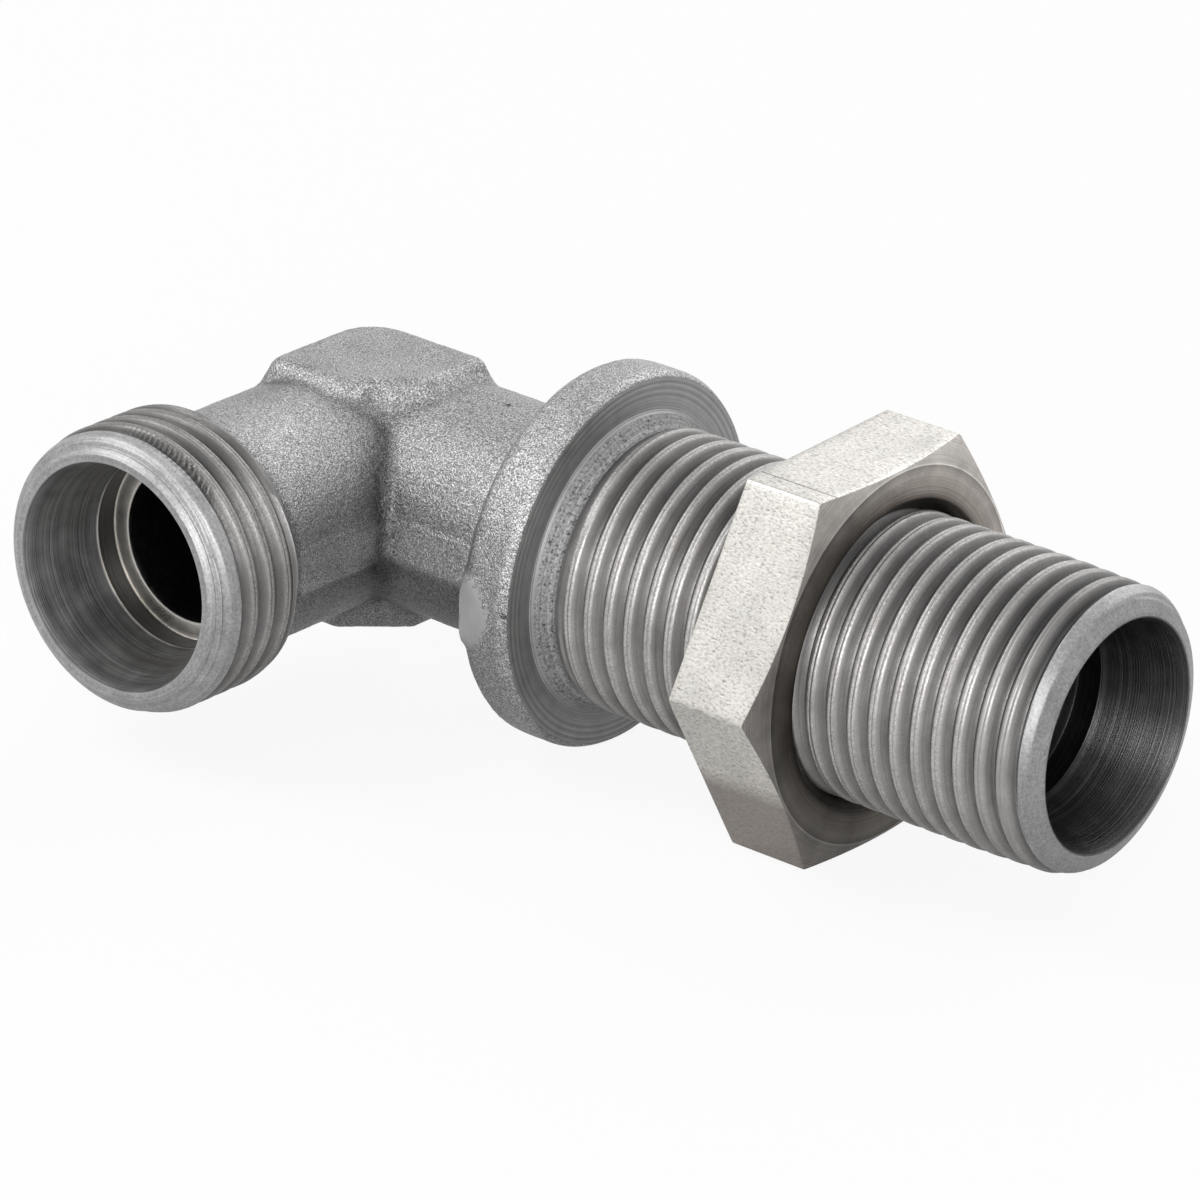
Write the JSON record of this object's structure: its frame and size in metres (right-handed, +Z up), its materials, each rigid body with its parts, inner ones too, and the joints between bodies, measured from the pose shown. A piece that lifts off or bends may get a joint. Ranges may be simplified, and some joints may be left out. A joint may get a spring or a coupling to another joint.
{
  "type": "angle bulkhead fitting",
  "caption": "Right-angle bulkhead tube fitting with a long flanged and threaded stem, a locknut that clamps a panel on it, and a short threaded port to the side.",
  "frame": {"origin": "centre of the flange's seating face, where the stem's axis crosses it", "axes": "+X along the stem to its free end, -Y along the branch port to its mouth, +Z up, square to both legs"},
  "size_m": [0.0652, 0.0377, 0.0242],
  "materials": {
    "forged_steel": "shot-blasted grey forging with fine bright speckle; flange face, chamfers, threads and sockets turned, with fine concentric tool lines",
    "bright_steel": "bare bright steel with finely speckled flats, bright edges and turned arcs on the chamfered face"
  },
  "bodies": {
    "elbow": {"elbow_body": "forged_steel"},
    "nut": {"locknut": "bright_steel"}
  },
  "joints": [
    {"name": "locknut_travel", "type": "slide", "parent": "elbow", "child": "nut", "axis": [1, 0, 0], "range_m": [-0.0105, 0.015]}
  ]
}
